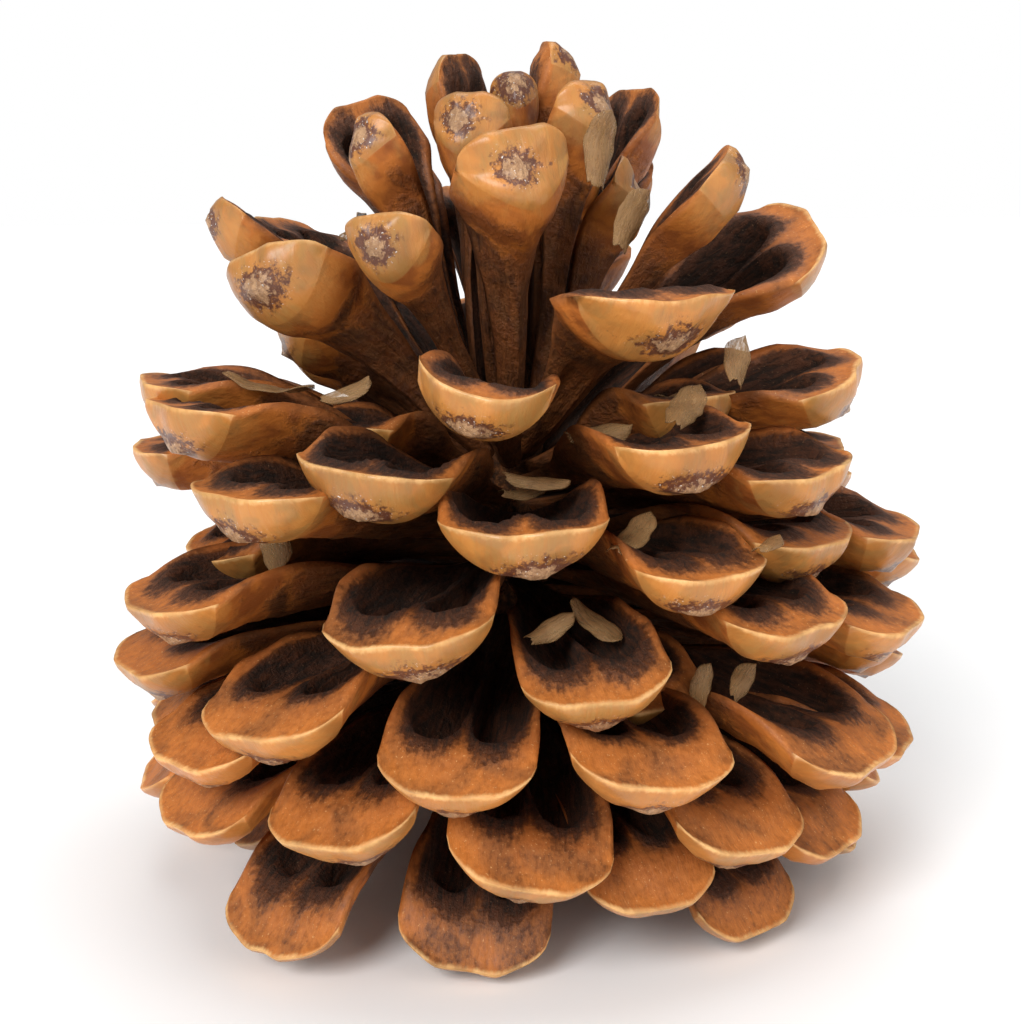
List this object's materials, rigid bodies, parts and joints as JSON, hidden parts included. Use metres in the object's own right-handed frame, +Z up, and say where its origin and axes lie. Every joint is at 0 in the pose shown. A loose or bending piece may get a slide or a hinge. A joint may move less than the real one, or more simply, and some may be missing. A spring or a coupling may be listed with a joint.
{
  "type": "stone pine cone",
  "caption": "Open stone pine cone, standing apex up, with woody scales spreading in spirals from a short axis and papery seed wings caught between them.",
  "frame": {"origin": "on the resting plane, below the middle of the cone's width and depth", "axes": "+Z up along the cone's axis from the stem end to the apex; -Y towards the front, the side the picture shows; +X to the right of that side"},
  "size_m": [0.1168, 0.1181, 0.1188],
  "materials": {
    "cone_wood": "weathered woody scales: satin tan and orange outer ends, near black in the seed hollows",
    "wing_paper": "dry papery membrane, pale straw, slightly see-through"
  },
  "bodies": {
    "root": {"cone": "cone_wood", "seed_wing_01": "wing_paper", "seed_wing_02": "wing_paper", "seed_wing_03": "wing_paper", "seed_wing_04": "wing_paper", "seed_wing_05": "wing_paper", "seed_wing_06": "wing_paper", "seed_wing_07": "wing_paper", "seed_wing_08": "wing_paper", "seed_wing_09": "wing_paper", "seed_wing_10": "wing_paper", "seed_wing_11": "wing_paper", "seed_wing_12": "wing_paper", "seed_wing_13": "wing_paper", "seed_wing_14": "wing_paper", "seed_wing_15": "wing_paper", "seed_wing_16": "wing_paper", "seed_wing_17": "wing_paper", "seed_wing_18": "wing_paper", "seed_wing_19": "wing_paper", "seed_wing_20": "wing_paper", "seed_wing_21": "wing_paper", "seed_wing_22": "wing_paper", "seed_wing_23": "wing_paper", "seed_wing_24": "wing_paper"}
  },
  "joints": []
}
